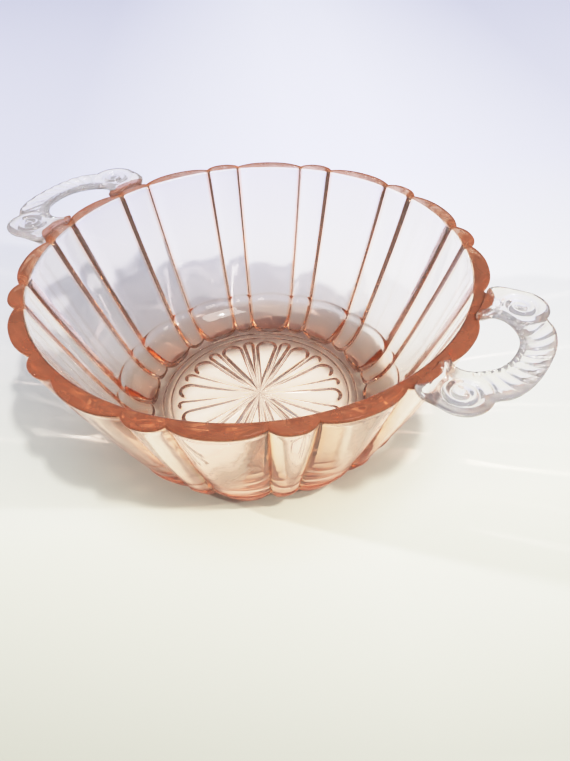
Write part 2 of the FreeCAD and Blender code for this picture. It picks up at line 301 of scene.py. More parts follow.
def linked(name, mesh, index):
    """An object for the mesh, with each face's mark held as its material number."""
    for _ in (CLEAR, SEAM):
        mesh.materials.append(None)
    mesh.polygons.foreach_set("material_index", index)
    obj = bpy.data.objects.new(name, mesh)
    bpy.context.scene.collection.objects.link(obj)
    return obj


# ------------------------------------------------------------------ handles
HANDLE_TOP = 71.6
SCROLL = np.array([88.5, 22.6])  # middle of the scroll on the +Y side
SCROLL_R = 8.8
TIP_INSET = 0.3  # the middle of the grip falls this short of its ribs in the frame
OPENING = 95.0  # how far out the finger opening reaches
ROOT = (79.3, 10.3)  # where an arm's inner side meets the rim
ROOT_FADE = (78.0, 84.0)  # the extra glass at the root fades out over this reach
FACE_ROUND = 0.7  # rounding of the top edge
EDGE_THICK = 1.5
BELLY = 2.4  # how far the underside swells below the edge
BELLY_WIDTH = 6.0
ROOT_BELLY = 2.6  # more glass where the arms run into the rim

SPIRAL_START = math.radians(211)  # where the spiral groove enters the scroll
SPIRAL_R = 6.2
SPIRAL_PITCH = 2.5
SPIRAL_WIDTH = 0.62
SPIRAL_DEPTH = 1.3
SCROLL_FALL = 0.25  # the scroll's outer turn is this much lower at its edge
SCROLL_SHOULDER = 6.5
BUTTON_R = 1.4
BUTTON_RISE = 0.35

RIB_HUB = 84.0  # the ribs fan out round this point
RIB_PITCH = 13.2  # degrees
RIB_LEAN = 1.6  # degrees of turn for each millimetre outwards
RIB_MIDDLE = 14.0
RIB_DEPTH = 0.95
RIB_POWER = 2.2
RIB_INNER = 11.5
RIB_END = 68.0  # degrees to the last rib
RIB_FADE = 6.0

LEDGE = 3.0  # width of the lowered band round the opening
LEDGE_THIN = 1.3  # how much narrower it is along the grip
LEDGE_TURN = 21.0  # along the opening from its middle, where the band widens
LEDGE_TURN_SPAN = 8.0
LEDGE_DROP = 1.0
LEDGE_SLOPE = 0.5  # width of the step down to it
LEDGE_START = 79.5
LEDGE_START_SPAN = 2.0
BEAD_PITCH = 2.1
BEAD_R = 0.85
BEAD_OFF = 0.95  # from the opening's edge to the beads
BEAD_HEIGHT = 1.2
BEAD_SPAN = 17.0
CREASE_DEPTH = 0.8  # the line between a scroll and the grip
CREASE_WIDTH = 0.5
CREASE_START = 90.0
RELIEF_TOP = 0.4
RELIEF_FADE = 0.8  # the pattern grows over this width from the edge

GRID = 0.3  # spacing of the points inside a handle's plan
GRID_START = 75
GRID_SIDE = 33
EDGE_DEPTHS = (0.03, 0.11, 0.24, 0.44, 0.72, 1.05)  # rows of points that round the edge
EDGE_CLEAR = 1.25


def arc_points(centre, radius, start, end, steps):
    """Points along an arc; its start and end are in degrees."""
    a = np.radians(np.linspace(start, end, steps))
    return [(centre[0] + radius * math.cos(t), centre[1] + radius * math.sin(t)) for t in a]


def evenly(points, spacing):
    """Points spaced evenly along a polyline."""
    pts = np.array(points)
    step = np.r_[0, np.cumsum(np.linalg.norm(np.diff(pts, axis=0), axis=1))]
    s = np.linspace(0, step[-1], int(step[-1] / spacing) + 1)
    return np.stack([np.interp(s, step, pts[:, 0]), np.interp(s, step, pts[:, 1])], 1)


def handle_curves(spacing=0.33):
    """Half plans of the outer edge, tip to rim, and of the opening, rim to middle."""
    tip = HANDLE_REACH - TIP_INSET
    outer = [tuple(p) for p in spline(
        [(tip, 0), (tip - 0.35, 6.5), (tip - 1.6, 12.5), (tip - 3.8, 17.2), (tip - 6.6, 20.0)], 14)]
    outer += arc_points(SCROLL, SCROLL_R, -9, 103, 44)
    outer += [tuple(p) for p in spline(
        [(86.0, 31.05), (81.5, 30.3), (78.0, 29.0), (76.4, 27.0), (76.7, 24.0), (77.5, 20.0), (78.0, 16.0),
         (78.2, 12.0), ROOT], 12)[1:]]
    inner = spline([ROOT, (80.9, 12.4), (83.0, 13.9), (85.8, 14.1), (88.7, 12.8), (91.6, 10.2),
                    (93.6, 7.2), (94.7, 3.6), (OPENING, 0)], 12)
    return evenly(outer, spacing), evenly(inner, spacing)


def mirrored(points):
    """The same curve on the handle's other side, run the other way."""
    return points[::-1] * [1, -1]


def distance_to_path(points, path, closed):
    """Distance from each point to a path, and how far along the path the nearest spot is."""
    a = path if closed else path[:-1]
    b = np.roll(path, -1, 0) if closed else path[1:]
    ab = b - a
    length2 = (ab**2).sum(1)
    before = np.r_[0, np.cumsum(np.sqrt(length2))[:-1]]
    best = np.zeros(len(points))
    along = np.zeros(len(points))
    for i in range(0, len(points), 2000):
        p = points[i : i + 2000, None, :]
        t = np.clip(((p - a) * ab).sum(2) / length2, 0, 1)
        d = ((a + t[..., None] * ab - p) ** 2).sum(2)
        k = d.argmin(1)
        row = np.arange(len(k))
        best[i : i + 2000] = np.sqrt(d[row, k])
        along[i : i + 2000] = before[k] + t[row, k] * np.sqrt(length2[k])
    return best, along


def inside_loop(points, loop):
    """Which points lie inside a closed outline."""
    x, y = points[:, 0], points[:, 1]
    inside = np.zeros(len(points), bool)
    a, b = loop, np.roll(loop, -1, 0)
    for (x1, y1), (x2, y2) in zip(a, b):
        if y1 == y2:
            continue
        hit = ((y1 > y) != (y2 > y)) & (x < (x2 - x1) * (y - y1) / (y2 - y1) + x1)
        inside ^= hit
    return inside


def scroll_relief(x, y):
    """A spiral groove winding into each scroll from the arm's inner side, and a button."""
    dx, dy = x - SCROLL[0], np.abs(y) - SCROLL[1]
    rho = np.hypot(dx, dy)
    turn = (SPIRAL_START - np.arctan2(dy, dx)) / (2 * math.pi) % 1
    gap = np.full(rho.shape, SCROLL_R)
    for k in range(2):
        gap = np.minimum(gap, np.abs(rho - (SPIRAL_R - SPIRAL_PITCH * (turn + k))))
    groove = -np.exp(-((gap / SPIRAL_WIDTH) ** 2)) * SPIRAL_DEPTH
    crown = -SCROLL_FALL * smoothstep((rho - SCROLL_SHOULDER) / (SCROLL_R - SCROLL_SHOULDER))
    button = BUTTON_RISE * np.clip(1 - (rho / BUTTON_R) ** 2, 0, 1)
    return np.where(rho < SCROLL_R, groove + button + crown, 0), rho


def grip_relief(x, y):
    """Ribs fanned across the grip, parted by grooves that fade towards the opening."""
    dx = x - RIB_HUB
    reach = np.hypot(dx, y)
    angle = np.degrees(np.arctan2(y, dx)) - RIB_LEAN * (reach - RIB_MIDDLE)
    wave = np.abs(np.sin(np.radians(angle / RIB_PITCH * 180)))
    fade = smoothstep((reach - RIB_INNER) / RIB_FADE) * smoothstep((RIB_END - np.abs(angle)) / RIB_FADE)
    return -RIB_DEPTH * (1 - wave) ** RIB_POWER * fade


def handle_plan():
    """Points and triangles that fill the outline, with the opening as a notch in its rim side."""
    outer, inner = handle_curves()
    loop = np.vstack([outer, inner[1:], mirrored(inner)[1:], mirrored(outer)[1:-1]])
    opening = np.vstack([inner, mirrored(inner)[1:]])
    tangent = np.roll(loop, -1, 0) - np.roll(loop, 1, 0)
    tangent /= np.linalg.norm(tangent, axis=1)[:, None]
    inward = np.stack([-tangent[:, 1], tangent[:, 0]], 1)
    points = [loop]
    for depth in EDGE_DEPTHS:
        offset = loop + inward * depth
        keep = np.abs(distance_to_path(offset, loop, True)[0] - depth) < 0.02 + depth * 0.02
        points.append(offset[keep])
    gx, gy = np.meshgrid(
        np.arange(GRID_START, HANDLE_REACH + 1, GRID), np.arange(-GRID_SIDE, GRID_SIDE, GRID)
    )
    grid = np.stack([gx.ravel(), gy.ravel()], 1)
    grid = grid[inside_loop(grid, loop)]
    points.append(grid[distance_to_path(grid, loop, True)[0] > EDGE_CLEAR])
    points = [Vector(p) for p in np.vstack(points)]
    n = len(loop)
    edges = [(i, (i + 1) % n) for i in range(n)]
    verts, _, faces, orig, _, _ = delaunay_2d_cdt(points, edges, [list(range(n))], 1, 1e-4)
    xy = np.array([tuple(v) for v in verts])
    on_edge = np.array([any(i < n for i in o) for o in orig])
    from_edge = distance_to_path(xy, loop, True)[0]
    from_edge[on_edge] = 0
    return xy, faces, on_edge, from_edge, opening


def handle_relief(xy, opening):
    """Height of the pressed pattern at each point: scrolls, ribs, and a beaded ledge."""
    x, y = xy[:, 0], xy[:, 1]
    to_opening, along = distance_to_path(xy, opening, False)
    off_middle = np.abs(along - along.max() / 2)
    ledge = LEDGE - LEDGE_THIN * smoothstep((LEDGE_TURN - off_middle) / LEDGE_TURN_SPAN)
    ledge *= smoothstep((x - LEDGE_START) / LEDGE_START_SPAN)
    step = -LEDGE_DROP * smoothstep((ledge - to_opening) / LEDGE_SLOPE + 0.5)
    s = (off_middle + BEAD_PITCH / 2) % BEAD_PITCH - BEAD_PITCH / 2
    ball = np.clip(1 - (s**2 + (to_opening - BEAD_OFF) ** 2) / BEAD_R**2, 0, 1)
    bead = BEAD_HEIGHT * np.sqrt(ball) * (off_middle < BEAD_SPAN)
    scroll, rho = scroll_relief(x, y)
    ribs = np.where(rho > SCROLL_R, grip_relief(x, y), 0)
    crease = -CREASE_DEPTH * np.exp(-(((rho - SCROLL_R) / CREASE_WIDTH) ** 2)) * (x > CREASE_START)
    relief = np.where(to_opening < ledge, step + bead, np.minimum(scroll + ribs, RELIEF_TOP) + step)
    return np.minimum(relief, relief + crease * (to_opening > ledge))


def handle_mesh(name):
    """A handle: its plan with a pressed, round-edged top and a swelling underside."""
    xy, faces, on_edge, from_edge, opening = handle_plan()
    q = np.clip(1 - from_edge / FACE_ROUND, 0, 1)
    drop = FACE_ROUND * (1 - np.sqrt(1 - q**2))
    top = HANDLE_TOP - drop + handle_relief(xy, opening) * smoothstep(from_edge / RELIEF_FADE)
    w = np.clip(from_edge / BELLY_WIDTH, 0, 1)
    root = ROOT_BELLY * smoothstep((ROOT_FADE[1] - xy[:, 0]) / (ROOT_FADE[1] - ROOT_FADE[0]))
    low = HANDLE_TOP - EDGE_THICK - (BELLY + root) * (1 - (1 - w) ** 2)
    under_round = EDGE_THICK - FACE_ROUND
    q2 = np.clip(1 - from_edge / under_round, 0, 1)
    bottom = low + under_round * (1 - np.sqrt(1 - q2**2))
    count = len(xy)
    bottom_index = np.where(on_edge, np.arange(count), np.arange(count) + count)
    verts = np.vstack([np.column_stack([xy, top]), np.column_stack([xy, bottom])]) * MM
    tris = []
    for face in faces:
        face = list(face)
        p, q, r = xy[face[0]], xy[face[1]], xy[face[2]]
        if (q[0] - p[0]) * (r[1] - p[1]) - (q[1] - p[1]) * (r[0] - p[0]) < 0:
            face = face[::-1]
        tris.append(tuple(face))
        tris.append(tuple(int(bottom_index[i]) for i in face[::-1]))
    mesh = bpy.data.meshes.new(name)
    mesh.from_pydata([tuple(v) for v in verts], [], tris)
    bm = bmesh.new()
    bm.from_mesh(mesh)
    bmesh.ops.delete(bm, geom=[v for v in bm.verts if not v.link_faces], context="VERTS")
    bm.to_mesh(mesh)
    bm.free()
    return linked(name, mesh, np.zeros(len(mesh.polygons), np.int32))


CUTTER_ABOVE = 4  # how far the cutting solid reaches past the rim
CUTTER_BELOW = 14
PARTING = 0.15  # the handles are parted this far outside the wall


def wall_cutter(name, offset):
    """A solid that stands just outside the wall, where the handles are parted from it."""
    top, bottom = RIM_Z + CUTTER_ABOVE, RIM_Z - CUTTER_BELOW
    rows = [ring(wall_groove(z) * (1 + LOBE * SWELL) + offset, z) for z in np.linspace(top, bottom, 8)]
    cutter = closed_mesh(name, rows, [[0, 0, top], [0, 0, bottom]])
    marks = np.full(len(cutter.data.polygons), SEAM, np.int32)
    cutter.data.polygons.foreach_set("material_index", marks)
    return cutter


def boolean(target, other, operation):
    """Changes one piece's mesh by another's; faces keep the marks of the piece they come from."""
    mod = target.modifiers.new("cut", "BOOLEAN")
    mod.operation = operation
    mod.solver = "MANIFOLD"
    mod.object = other
    dg = bpy.context.evaluated_depsgraph_get()
    mesh = bpy.data.meshes.new_from_object(target.evaluated_get(dg))
    target.modifiers.clear()
    target.data = mesh


# ------------------------------------------------------------------ glass
GLASS_TINT = (0.89, 0.44, 0.08, 1)  # what deep glass leaves of white light
IOR = 1.52
WALL_DENSITY = 14.0
BASE_DENSITY = 44.0
HANDLE_DENSITY = 6.0
# painted sheen: a pale scattering share lightens the handles in place of their bright reflections
HANDLE_SHEEN_SHARE = 0.10  # share of the handles' surface that scatters
HANDLE_SHEEN = (0.98, 0.92, 0.90, 1)
RIM_DULL_MOST = 1.1  # how dull the rim's face is, before its patches bring that down
RIM_DULL = (0.31, 0.118, 0.065, 1)
RIM_DEPTHS = (1.1, 0.7)  # below the rim, where the dull face begins and where it is whole
RIM_INSETS = (0.5, 0.9)  # the same, outwards from the inside of the wall
RIM_PATCHES = (-0.3, 1.1)  # range of the ripple over which the dullness grows
# painted shade: a darker salmon tint along the grooves
GROOVE_SHADE = (1.0, 0.89, 0.81, 1)
GROOVE_HALVES = (0.5, 1.3)  # the tint is whole up to the first and gone at the second
GROOVE_START = 46.0  # the floor inside this radius has no grooves
# painted shade: seen from outside, the outer faces take a pink tint that grows deeper and darker towards
# the foot
OUTSIDE_LOW = (0.83, 0.46, 0.39, 1)
OUTSIDE_MID = (1.0, 0.79, 0.76, 1)
OUTSIDE_HIGH = (1.0, 0.91, 0.89, 1)
OUTSIDE_MID_AT = 0.42
OUTSIDE_TOP = 50.0  # the height at which the outside reaches its palest
OUTSIDE_LEAST = 0.004  # a face counts as outer when it points out at least this much
RIPPLE_SCALE = 75.0
RIPPLE_DETAIL = 3.0
RIPPLE_ROUGHNESS = 0.55
RIPPLE_HEIGHT = 0.00004  # metres
MOST_ROUGH = 0.07


def math_node(nodes, links, operation, *values):
    """The result of one sum; each value is a number or another node's output."""
    node = nodes.new("ShaderNodeMath")
    node.operation = operation
    for socket, value in zip(node.inputs, values):
        if isinstance(value, (int, float)):
            socket.default_value = value
        else:
            links.new(value, socket)
    return node.outputs["Value"]


def map_range(nodes, links, value, span, to=(0.0, 1.0), smooth=False):
    """A value carried from one span to another and held at its ends."""
    node = nodes.new("ShaderNodeMapRange")
    if smooth:
        node.interpolation_type = "SMOOTHSTEP"
    node.inputs["From Min"].default_value, node.inputs["From Max"].default_value = span
    node.inputs["To Min"].default_value, node.inputs["To Max"].default_value = to
    links.new(value, node.inputs["Value"])
    return node.outputs["Result"]


def mixed_colour(nodes, links, share, first, second):
    """A blend of two colours, each a plain colour or another node's output."""
    node = nodes.new("ShaderNodeMix")
    node.data_type = "RGBA"
    links.new(share, node.inputs[0])
    for socket, colour in ((node.inputs[6], first), (node.inputs[7], second)):
        if isinstance(colour, tuple):
            socket.default_value = colour
        else:
            links.new(colour, socket)
    return node.outputs[2]


def mixed_shader(nodes, links, share, first, second):
    """A blend of two shaders; the share is a number or another node's output."""
    node = nodes.new("ShaderNodeMixShader")
    if isinstance(share, float):
        node.inputs["Fac"].default_value = share
    else:
        links.new(share, node.inputs["Fac"])
    links.new(first.outputs[0], node.inputs[1])
    links.new(second.outputs[0], node.inputs[2])
    return node


def scattering(nodes, links, surface, share, colour):
    """Mixes a share of soft scattered light into a surface."""
    soft = nodes.new("ShaderNodeBsdfDiffuse")
    soft.inputs["Color"].default_value = colour
    return mixed_shader(nodes, links, share, surface, soft)


def groove_mask(nodes, links, split, radius):
    """Where the grooves' painted shade falls: one along the pressed grooves, falling to nothing a little
    way to each side.
    """
    angle = math_node(nodes, links, "ARCTAN2", split.outputs["Y"], split.outputs["X"])
    folded = math_node(nodes, links, "PINGPONG", angle, PITCH / 2)
    off = math_node(nodes, links, "ABSOLUTE", math_node(nodes, links, "SUBTRACT", folded, WIDE_HALF))
    away = math_node(nodes, links, "MULTIPLY", off, radius)
    core, fade = GROOVE_HALVES
    mask = map_range(nodes, links, away, (core * MM, fade * MM), (1.0, 0.0), smooth=True)
    beyond = math_node(nodes, links, "GREATER_THAN", radius, GROOVE_START * MM)
    return math_node(nodes, links, "MULTIPLY", mask, beyond)


def outside_painted_shade(nodes, links, split, flat):
    """Painted shade: the colour of the outer face seen from outside, deeper and darker towards the foot.
    """
    geometry = nodes.new("ShaderNodeNewGeometry")
    facing = nodes.new("ShaderNodeVectorMath")
    facing.operation = "DOT_PRODUCT"
    links.new(flat, facing.inputs[0])
    links.new(geometry.outputs["Normal"], facing.inputs[1])
    outward = math_node(nodes, links, "GREATER_THAN", facing.outputs["Value"], OUTSIDE_LEAST)
    front = math_node(nodes, links, "SUBTRACT", 1.0, geometry.outputs["Backfacing"])
    shown = math_node(nodes, links, "MULTIPLY", outward, front)
    ramp = nodes.new("ShaderNodeValToRGB")
    stops = ramp.color_ramp.elements
    stops[0].color, stops[1].color = OUTSIDE_LOW, OUTSIDE_HIGH
    stops.new(OUTSIDE_MID_AT).color = OUTSIDE_MID
    height = map_range(nodes, links, split.outputs["Z"], (0.0, OUTSIDE_TOP * MM))
    links.new(height, ramp.inputs["Fac"])
    return mixed_colour(nodes, links, shown, (1, 1, 1, 1), ramp.outputs["Color"])


def rim_share(nodes, links, height, radius, ripple):
    """How dull the surface is: only on the rim's face, and in uneven patches."""
    top = (RIM_Z - RIM_DEPTHS[0], RIM_Z - RIM_DEPTHS[1])
    inner = RIM_GROOVE - WALL
    out = (inner + RIM_INSETS[0], inner + RIM_INSETS[1])
    share = map_range(nodes, links, height, (top[0] * MM, top[1] * MM), (0.0, RIM_DULL_MOST))
    beyond = map_range(nodes, links, radius, (out[0] * MM, out[1] * MM))
    patches = map_range(nodes, links, ripple, RIM_PATCHES)
    share = math_node(nodes, links, "MULTIPLY", share, beyond)
    return math_node(nodes, links, "MULTIPLY", share, patches)


def painted_shade_and_dull_rim(nodes, links, glass, coord, ripple):
    """The bowl's looks: painted shade as a pink tint outside and in the grooves, and a dull salmon share
    on the rim's face.
    """
    split = nodes.new("ShaderNodeSeparateXYZ")
    flat = nodes.new("ShaderNodeVectorMath")
    flat.operation = "MULTIPLY"
    flat.inputs[1].default_value = (1, 1, 0)
    radius = nodes.new("ShaderNodeVectorMath")
    radius.operation = "LENGTH"
    links.new(coord.outputs["Object"], split.inputs[0])
    links.new(coord.outputs["Object"], flat.inputs[0])
    links.new(flat.outputs[0], radius.inputs[0])
    outside = outside_painted_shade(nodes, links, split, flat.outputs[0])
    grooves = groove_mask(nodes, links, split, radius.outputs["Value"])
    tint = mixed_colour(nodes, links, grooves, outside, GROOVE_SHADE)
    links.new(tint, glass.inputs["Color"])
    share = rim_share(
        nodes, links, split.outputs["Z"], radius.outputs["Value"], ripple.outputs["Fac"]
    )
    return scattering(nodes, links, glass, share, RIM_DULL)


def glass_material(name, density, is_bowl):
    """Pink glass that tints with depth, with the looks of the bowl or of a handle."""
    mat = bpy.data.materials.new(name)
    mat.use_nodes = True
    nodes, links = mat.node_tree.nodes, mat.node_tree.links
    nodes.clear()
    out = nodes.new("ShaderNodeOutputMaterial")
    glass = nodes.new("ShaderNodeBsdfGlass")
    glass.inputs["IOR"].default_value = IOR
    glass.inputs["Color"].default_value = (1, 1, 1, 1)
    volume = nodes.new("ShaderNodeVolumeAbsorption")
    volume.inputs["Color"].default_value = GLASS_TINT
    volume.inputs["Density"].default_value = density
    coord = nodes.new("ShaderNodeTexCoord")
    ripple = nodes.new("ShaderNodeTexNoise")
    ripple.inputs["Scale"].default_value = RIPPLE_SCALE
    ripple.inputs["Detail"].default_value = RIPPLE_DETAIL
    ripple.inputs["Roughness"].default_value = RIPPLE_ROUGHNESS
    bump = nodes.new("ShaderNodeBump")
    bump.inputs["Distance"].default_value = RIPPLE_HEIGHT
    bump.inputs["Strength"].default_value = 1.0
    links.new(coord.outputs["Object"], ripple.inputs["Vector"])
    links.new(ripple.outputs["Fac"], bump.inputs["Height"])
    links.new(bump.outputs["Normal"], glass.inputs["Normal"])
    rough = map_range(nodes, links, ripple.outputs["Fac"], (0.0, 1.0), (0.0, MOST_ROUGH))
    links.new(rough, glass.inputs["Roughness"])
    if is_bowl:
        surface = painted_shade_and_dull_rim(nodes, links, glass, coord, ripple)
    else:
        # painted sheen lightens the handles
        surface = scattering(nodes, links, glass, HANDLE_SHEEN_SHARE, HANDLE_SHEEN)
    # the hidden faces of a seam let everything through
    seam = nodes.new("ShaderNodeAttribute")
    seam.attribute_name = "seam"
    through = nodes.new("ShaderNodeBsdfTransparent")
    whole = mixed_shader(nodes, links, seam.outputs["Fac"], surface, through)
    links.new(whole.outputs[0], out.inputs["Surface"])
    links.new(volume.outputs[0], out.inputs["Volume"])
    return mat


def sharpen_seams(mesh, is_seam):
    """Sharp edges round the hidden faces, so that they don't bend the smooth glass beside them."""
    edge_of_loop = np.empty(len(mesh.loops), np.int32)
    mesh.loops.foreach_get("edge_index", edge_of_loop)
    sides = np.empty(len(mesh.polygons), np.int32)
    mesh.polygons.foreach_get("loop_total", sides)
    loop_seam = np.repeat(is_seam, sides)
    hidden = np.bincount(edge_of_loop[loop_seam], minlength=len(mesh.edges))
    shown = np.bincount(edge_of_loop[~loop_seam], minlength=len(mesh.edges))
    mesh.edges.foreach_set("use_edge_sharp", (hidden > 0) & (shown > 0))


SLIVER = 0.001  # shorter edges and thinner faces are closed up


def without_slivers(mesh):
    """Faces of many corners become triangles, and the ones without area are closed up."""
    bm = bmesh.new()
    bm.from_mesh(mesh)
    many = [face for face in bm.faces if len(face.verts) > 4]
    bmesh.ops.triangulate(bm, faces=many, quad_method="BEAUTY", ngon_method="BEAUTY")
    bmesh.ops.dissolve_degenerate(bm, dist=SLIVER * MM, edges=bm.edges)
    bm.to_mesh(mesh)
    bm.free()


def finished(piece, material):
    """The marks become the seam attribute and the piece takes its one material."""
    mesh = piece.data
    without_slivers(mesh)
    index = np.empty(len(mesh.polygons), np.int32)
    mesh.polygons.foreach_get("material_index", index)
    seam = mesh.attributes.new("seam", "FLOAT", "FACE")
    seam.data.foreach_set("value", (index == SEAM).astype(np.float32))
    mesh.polygons.foreach_set("use_smooth", np.ones(len(index), bool))
    sharpen_seams(mesh, index == SEAM)
    mesh.polygons.foreach_set("material_index", np.zeros(len(index), np.int32))
    mesh.materials.clear()
    mesh.materials.append(material)
    mesh.update()
    piece.cycles.is_caustics_caster = True
    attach(piece, "root")
    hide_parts(piece.name.removesuffix("_glass"))


# ------------------------------------------------------------------ pieces
wall_rows = inside_rows() + rim_rows() + outside_rows()
wall = closed_mesh("bowl_wall_glass", wall_rows, seam_row=len(wall_rows) - 1)
inner = floor_rows()
base_rows = inner + foot_rows() + star_rows()
base_poles = [[0, 0, FLOOR_Z], [0, 0, STAR_POLE]]
base = closed_mesh("star_base_glass", base_rows, base_poles, len(inner) - 1)
parting = wall_cutter("parting", PARTING)
stub_end = wall_cutter("stub_end", PARTING - SEAM_GAP)
handles = []
for side, turn in (("right", 0), ("left", math.pi)):
    handle, stub = handle_mesh(f"handle_{side}_glass"), handle_mesh("stub")
    for piece in (handle, stub):
        piece.data.transform(Matrix.Rotation(turn, 4, "Z"))
    boolean(handle, parting, "DIFFERENCE")
    boolean(stub, stub_end, "INTERSECT")
    boolean(wall, stub, "UNION")
    bpy.data.objects.remove(stub)
    handles.append(handle)
for cutter in (parting, stub_end):
    bpy.data.objects.remove(cutter)
finished(wall, glass_material("pink_glass_wall", WALL_DENSITY, is_bowl=True))
finished(base, glass_material("pink_glass_base", BASE_DENSITY, is_bowl=True))
handle_glass = glass_material("pink_glass_handle", HANDLE_DENSITY, is_bowl=False)
for piece in handles:
    finished(piece, handle_glass)

# ------------------------------------------------------------------ stage
# places on the stage are in metres, with the camera's right as +X and its back as +Y
FLOOR_HALF = 6.0
# painted light colour: the paper is warm in front and cool far away
NEAR_PAPER_LIGHT = (0.875, 0.87, 0.735, 1)
FAR_PAPER_LIGHT = (0.75, 0.76, 0.98, 1)
PAPER_SPAN = (-0.06, 0.22)
# painted shade: the paper darkens towards the front and the sides
FRONT_SPAN = (-0.14, -0.055)
FRONT_SHADE = (0.61, 1.0)
SIDE_MIDDLE = 0.07
SIDE_SPAN = (0.03, 0.20)  # distance to each side of that
SIDE_SHADE = (1.02, 0.76)
# painted shade with pink light, round the foot
SPILL_SHADE = (0.90, 0.86, 0.81, 1)  # pink light spilled round the foot
SPILL_SHADE_SPAN = (0.055, 0.085)
# painted light: the paper glows under the foot
PAINTED_POOL = (1, 0.87, 0.76, 1)  # light gathered under the foot
PAINTED_POOL_SPAN = (0.030, 0.041)
PAINTED_POOL_GLOW = 0.95
PAPER_ROUGH = 0.8
PAPER_SHINE = 0.2


def paper_colour(nodes, links, split, distance):
    """Painted light and shade on the paper: cool far away and warm in front, darker to the front and
    sides, and a pink shade round the dish.
    """
    ramp = nodes.new("ShaderNodeValToRGB")
    ramp.color_ramp.elements[0].color = NEAR_PAPER_LIGHT
    ramp.color_ramp.elements[1].color = FAR_PAPER_LIGHT
    links.new(map_range(nodes, links, split.outputs["Y"], PAPER_SPAN), ramp.inputs["Fac"])
    # painted shade and pink light round the dish's foot
    beyond_spill = map_range(nodes, links, distance, SPILL_SHADE_SPAN, smooth=True)
    spill = mixed_colour(nodes, links, beyond_spill, SPILL_SHADE, (1, 1, 1, 1))
    spill_shaded = nodes.new("ShaderNodeVectorMath")
    spill_shaded.operation = "MULTIPLY"
    links.new(ramp.outputs["Color"], spill_shaded.inputs[0])
    links.new(spill, spill_shaded.inputs[1])
    # painted shade towards the front and the sides
    front = map_range(nodes, links, split.outputs["Y"], FRONT_SPAN, FRONT_SHADE)
    shifted = math_node(nodes, links, "SUBTRACT", split.outputs["X"], SIDE_MIDDLE)
    across = math_node(nodes, links, "ABSOLUTE", shifted)
    side = map_range(nodes, links, across, SIDE_SPAN, SIDE_SHADE)
    shaded = nodes.new("ShaderNodeVectorMath")
    shaded.operation = "SCALE"
    links.new(spill_shaded.outputs[0], shaded.inputs[0])
    links.new(math_node(nodes, links, "MULTIPLY", front, side), shaded.inputs["Scale"])
    return shaded.outputs[0]


def floor_material():
    mat = bpy.data.materials.new("floor_paper")
    mat.use_nodes = True
    nodes, links = mat.node_tree.nodes, mat.node_tree.links
    bsdf = nodes["Principled BSDF"]
    coord = nodes.new("ShaderNodeTexCoord")
    turn = nodes.new("ShaderNodeMapping")
    turn.inputs["Rotation"].default_value = (0, 0, -HANDLE_TURN)
    split = nodes.new("ShaderNodeSeparateXYZ")
    distance = nodes.new("ShaderNodeVectorMath")
    distance.operation = "LENGTH"
    links.new(coord.outputs["Object"], turn.inputs["Vector"])
    links.new(turn.outputs["Vector"], split.inputs[0])
    links.new(coord.outputs["Object"], distance.inputs[0])
    colour = paper_colour(nodes, links, split, distance.outputs["Value"])
    links.new(colour, bsdf.inputs["Base Color"])
    bsdf.inputs["Roughness"].default_value = PAPER_ROUGH
    bsdf.inputs["Specular IOR Level"].default_value = PAPER_SHINE
    # painted light: a glow in the paper stands in for light that the dish gathers and pools under its foot
    painted_pool = map_range(nodes, links, distance.outputs["Value"], PAINTED_POOL_SPAN, (PAINTED_POOL_GLOW, 0.0), smooth=True)
    links.new(painted_pool, bsdf.inputs["Emission Strength"])
    bsdf.inputs["Emission Color"].default_value = PAINTED_POOL
    # a camera under the floor sees through it
    geometry = nodes.new("ShaderNodeNewGeometry")
    path = nodes.new("ShaderNodeLightPath")
    clear = nodes.new("ShaderNodeBsdfTransparent")
    under = math_node(
        nodes, links, "MULTIPLY", geometry.outputs["Backfacing"], path.outputs["Is Camera Ray"]
    )
    shown = mixed_shader(nodes, links, under, bsdf, clear)
    links.new(shown.outputs[0], nodes["Material Output"].inputs["Surface"])
    return mat


def floor_plane():
    """A wide paper floor that the dish stands on."""
    s = FLOOR_HALF
    mesh = bpy.data.meshes.new("floor")
    mesh.from_pydata([(-s, -s, 0), (s, -s, 0), (s, s, 0), (-s, s, 0)], [], [(0, 1, 2, 3)])
    mesh.materials.append(floor_material())
    floor = bpy.data.objects.new("floor", mesh)
    bpy.context.scene.collection.objects.link(floor)
    floor.cycles.is_caustics_receiver = True


SKY_LOW = (0.13, 0.13, 0.14, 1)
SKY_MIDDLE = (0.59, 0.63, 0.72, 1)
SKY_MIDDLE_AT = 0.35
SKY_HIGH = (0.91, 0.96, 1.09, 1)
SKY_STRENGTH = 0.52
BACKDROP = (0.80, 0.82, 0.90, 1)


def world_light():
    """A soft sky, pale overhead; the camera itself sees an even pale backdrop in its place."""
    world = bpy.data.worlds.new("studio")
    bpy.context.scene.world = world
    world.use_nodes = True
    nodes, links = world.node_tree.nodes, world.node_tree.links
    sky = nodes["Background"]
    coord = nodes.new("ShaderNodeTexCoord")
    split = nodes.new("ShaderNodeSeparateXYZ")
    ramp = nodes.new("ShaderNodeValToRGB")
    stops = ramp.color_ramp.elements
    stops[0].color, stops[1].color = SKY_LOW, SKY_HIGH
    stops.new(SKY_MIDDLE_AT).color = SKY_MIDDLE
    links.new(coord.outputs["Generated"], split.inputs[0])
    links.new(split.outputs["Z"], ramp.inputs["Fac"])
    links.new(ramp.outputs["Color"], sky.inputs["Color"])
    sky.inputs["Strength"].default_value = SKY_STRENGTH
    backdrop = nodes.new("ShaderNodeBackground")
    backdrop.inputs["Color"].default_value = BACKDROP
    path = nodes.new("ShaderNodeLightPath")
    seen = mixed_shader(nodes, links, path.outputs["Is Camera Ray"], sky, backdrop)
    links.new(seen.outputs[0], nodes["World Output"].inputs["Surface"])


